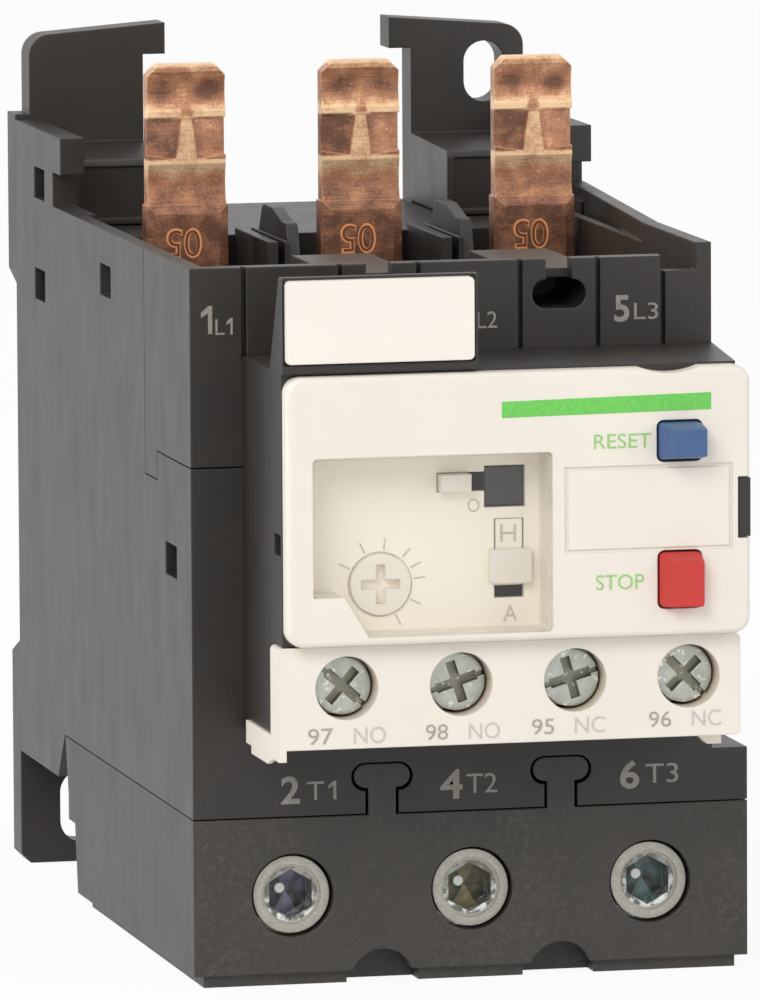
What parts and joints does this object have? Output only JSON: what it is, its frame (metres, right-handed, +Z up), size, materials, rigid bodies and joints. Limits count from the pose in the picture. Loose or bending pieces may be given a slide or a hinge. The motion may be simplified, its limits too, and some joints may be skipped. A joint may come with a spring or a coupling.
{
  "type": "overload relay",
  "caption": "plug-in thermal overload relay with copper line prongs, dial, reset and stop buttons and screw terminals",
  "frame": {"origin": "centre of the bounding box, at the bottom of the feet", "axes": "+X to the relay's right seen from the front, +Y from the front to the mounting plate, +Z up towards the line prongs"},
  "size_m": [0.055, 0.11, 0.0865],
  "materials": {
    "dark_plastic": "fine-grained moulded",
    "block_plastic": "speckled moulded",
    "cream_plastic": "satin moulded",
    "marker_white": "satin moulded",
    "print_ink": "printed",
    "clear_plastic": "clear moulded",
    "blue_plastic": "satin moulded",
    "red_plastic": "satin moulded",
    "inner_plastic": "moulded",
    "copper": "rolled, lightly scratched",
    "contact_brass": "stamped",
    "heater_alloy": "drawn",
    "spring_steel": "drawn",
    "zinc_steel": "zinc plated",
    "bright_steel": "turned"
  },
  "bodies": {
    "root": {"main_housing": "dark_plastic", "front_upper_cap": "dark_plastic", "rear_mounting_plate": "dark_plastic", "terminal_block": "block_plastic", "control_module_body": "dark_plastic", "front_cover": "cream_plastic", "terminal_strip": "cream_plastic", "marker_plate": "marker_white", "reset_spring": "spring_steel", "stop_spring": "spring_steel", "side_latch": "dark_plastic", "line_prong_1": "copper", "load_bar_1": "copper", "bimetal_strip_1": "spring_steel", "heater_winding_1": "heater_alloy", "line_prong_2": "copper", "load_bar_2": "copper", "bimetal_strip_2": "spring_steel", "heater_winding_2": "heater_alloy", "line_prong_3": "copper", "load_bar_3": "copper", "bimetal_strip_3": "spring_steel", "heater_winding_3": "heater_alloy", "fixed_contact_1": "contact_brass", "fixed_contact_2": "contact_brass", "fixed_contact_3": "contact_brass", "fixed_contact_4": "contact_brass"},
    "reset_button_body": {"reset_button": "blue_plastic"},
    "stop_button_body": {"stop_button": "red_plastic"},
    "setting_dial_body": {"setting_dial": "cream_plastic"},
    "setting_cover_body": {"setting_cover": "clear_plastic"},
    "selector_body": {"reset_mode_selector": "cream_plastic"},
    "indicator_body": {"trip_indicator": "marker_white"},
    "test_button_body": {"test_button": "dark_plastic"},
    "slider_front_body": {"trip_slider_front": "inner_plastic"},
    "slider_rear_body": {"trip_slider_rear": "inner_plastic"},
    "lever_body": {"trip_lever": "inner_plastic"},
    "carrier_body": {"contact_carrier": "inner_plastic", "moving_contacts": "contact_brass"},
    "power_screw_1_body": {"power_terminal_screw_1": "bright_steel"},
    "clamp_cage_1_body": {"clamp_cage_1": "zinc_steel"},
    "power_screw_2_body": {"power_terminal_screw_2": "bright_steel"},
    "clamp_cage_2_body": {"clamp_cage_2": "zinc_steel"},
    "power_screw_3_body": {"power_terminal_screw_3": "bright_steel"},
    "clamp_cage_3_body": {"clamp_cage_3": "zinc_steel"},
    "aux_clamp_1_body": {"aux_clamp_plate_1": "zinc_steel"},
    "aux_screw_1_body": {"aux_terminal_screw_1": "zinc_steel"},
    "aux_clamp_2_body": {"aux_clamp_plate_2": "zinc_steel"},
    "aux_screw_2_body": {"aux_terminal_screw_2": "zinc_steel"},
    "aux_clamp_3_body": {"aux_clamp_plate_3": "zinc_steel"},
    "aux_screw_3_body": {"aux_terminal_screw_3": "zinc_steel"},
    "aux_clamp_4_body": {"aux_clamp_plate_4": "zinc_steel"},
    "aux_screw_4_body": {"aux_terminal_screw_4": "zinc_steel"}
  },
  "joints": [
    {"name": "reset_press", "type": "slide", "parent": "root", "child": "reset_button_body", "axis": [0, 1, 0], "range_m": [0, 0.0022], "stiffness_N_per_m": 300, "springref_m": -0.001, "deforming": ["reset_spring"]},
    {"name": "stop_press", "type": "slide", "parent": "root", "child": "stop_button_body", "axis": [0, 1, 0], "range_m": [0, 0.0014], "stiffness_N_per_m": 300, "springref_m": -0.001, "deforming": ["stop_spring"]},
    {"name": "dial_turn", "type": "hinge", "parent": "root", "child": "setting_dial_body", "pos_m": [-0.01209, -0.0469, 0.0405], "axis": [0, 1, 0], "range_deg": [0, 220]},
    {"name": "cover_swing", "type": "hinge", "parent": "root", "child": "setting_cover_body", "pos_m": [0.00265, -0.0518, 0.04467], "axis": [0, 0, 1], "range_deg": [0, 110]},
    {"name": "selector_slide", "type": "slide", "parent": "root", "child": "selector_body", "axis": [0, 0, 1], "range_m": [-0.0016, 0]},
    {"name": "indicator_slide", "type": "slide", "parent": "root", "child": "indicator_body", "axis": [1, 0, 0], "range_m": [0, 0.0014]},
    {"name": "test_press", "type": "slide", "parent": "root", "child": "test_button_body", "axis": [0, 1, 0], "range_m": [0, 0.0009], "stiffness_N_per_m": 200, "springref_m": -0.001},
    {"name": "trip_slide", "type": "slide", "parent": "root", "child": "slider_front_body", "axis": [-1, 0, 0], "range_m": [0, 0.0018], "deforming": ["bimetal_strip_1", "bimetal_strip_2", "bimetal_strip_3"]},
    {"name": "differential_slide", "type": "slide", "parent": "root", "child": "slider_rear_body", "axis": [-1, 0, 0], "range_m": [0, 0.0018], "deforming": ["bimetal_strip_1", "bimetal_strip_2", "bimetal_strip_3"]},
    {"name": "lever_turn", "type": "hinge", "parent": "root", "child": "lever_body", "pos_m": [-0.004, -0.0383, 0.054], "axis": [0, 1, 0], "range_deg": [0, 7.59]},
    {"name": "carrier_slide", "type": "slide", "parent": "root", "child": "carrier_body", "axis": [0, 0, -1], "range_m": [0, 0.00105]},
    {"name": "power_screw_1_turn", "type": "hinge", "parent": "root", "child": "power_screw_1_body", "pos_m": [-0.01775, -0.0327, 0.0088], "axis": [0, 1, 0], "range_deg": [0, 2160]},
    {"name": "clamp_cage_1_slide", "type": "slide", "parent": "root", "child": "clamp_cage_1_body", "axis": [0, -1, 0], "range_m": [0, 0.006]},
    {"name": "power_screw_2_turn", "type": "hinge", "parent": "root", "child": "power_screw_2_body", "pos_m": [0, -0.0327, 0.0088], "axis": [0, 1, 0], "range_deg": [0, 2160]},
    {"name": "clamp_cage_2_slide", "type": "slide", "parent": "root", "child": "clamp_cage_2_body", "axis": [0, -1, 0], "range_m": [0, 0.006]},
    {"name": "power_screw_3_turn", "type": "hinge", "parent": "root", "child": "power_screw_3_body", "pos_m": [0.01775, -0.0327, 0.0088], "axis": [0, 1, 0], "range_deg": [0, 2160]},
    {"name": "clamp_cage_3_slide", "type": "slide", "parent": "root", "child": "clamp_cage_3_body", "axis": [0, -1, 0], "range_m": [0, 0.006]},
    {"name": "aux_clamp_1_slide", "type": "slide", "parent": "root", "child": "aux_clamp_1_body", "axis": [0, 1, 0], "range_m": [0, 0.0024]},
    {"name": "aux_screw_1_turn", "type": "hinge", "parent": "aux_clamp_1_body", "child": "aux_screw_1_body", "pos_m": [-0.01617, -0.0484, 0.0311], "axis": [0, 1, 0], "range_deg": [0, 1440]},
    {"name": "aux_clamp_2_slide", "type": "slide", "parent": "root", "child": "aux_clamp_2_body", "axis": [0, 1, 0], "range_m": [0, 0.0024]},
    {"name": "aux_screw_2_turn", "type": "hinge", "parent": "aux_clamp_2_body", "child": "aux_screw_2_body", "pos_m": [-0.00502, -0.0484, 0.0311], "axis": [0, 1, 0], "range_deg": [0, 1440]},
    {"name": "aux_clamp_3_slide", "type": "slide", "parent": "root", "child": "aux_clamp_3_body", "axis": [0, 1, 0], "range_m": [0, 0.0024]},
    {"name": "aux_screw_3_turn", "type": "hinge", "parent": "aux_clamp_3_body", "child": "aux_screw_3_body", "pos_m": [0.00613, -0.0484, 0.0311], "axis": [0, 1, 0], "range_deg": [0, 1440]},
    {"name": "aux_clamp_4_slide", "type": "slide", "parent": "root", "child": "aux_clamp_4_body", "axis": [0, 1, 0], "range_m": [0, 0.0024]},
    {"name": "aux_screw_4_turn", "type": "hinge", "parent": "aux_clamp_4_body", "child": "aux_screw_4_body", "pos_m": [0.01728, -0.0484, 0.0311], "axis": [0, 1, 0], "range_deg": [0, 1440]}
  ],
  "couplings": [
    {"joint": "lever_turn", "follows": "trip_slide", "rad_per_m": 73.529},
    {"joint": "carrier_slide", "follows": "trip_slide", "ratio": 0.5832},
    {"joint": "indicator_slide", "follows": "trip_slide", "ratio": 0.7777},
    {"joint": "power_screw_1_turn", "follows": "clamp_cage_1_slide", "rad_per_m": 6283.2},
    {"joint": "power_screw_2_turn", "follows": "clamp_cage_2_slide", "rad_per_m": 6283.2},
    {"joint": "power_screw_3_turn", "follows": "clamp_cage_3_slide", "rad_per_m": 6283.2},
    {"joint": "aux_screw_1_turn", "follows": "aux_clamp_1_slide", "rad_per_m": 10472},
    {"joint": "aux_screw_2_turn", "follows": "aux_clamp_2_slide", "rad_per_m": 10472},
    {"joint": "aux_screw_3_turn", "follows": "aux_clamp_3_slide", "rad_per_m": 10472},
    {"joint": "aux_screw_4_turn", "follows": "aux_clamp_4_slide", "rad_per_m": 10472}
  ]
}
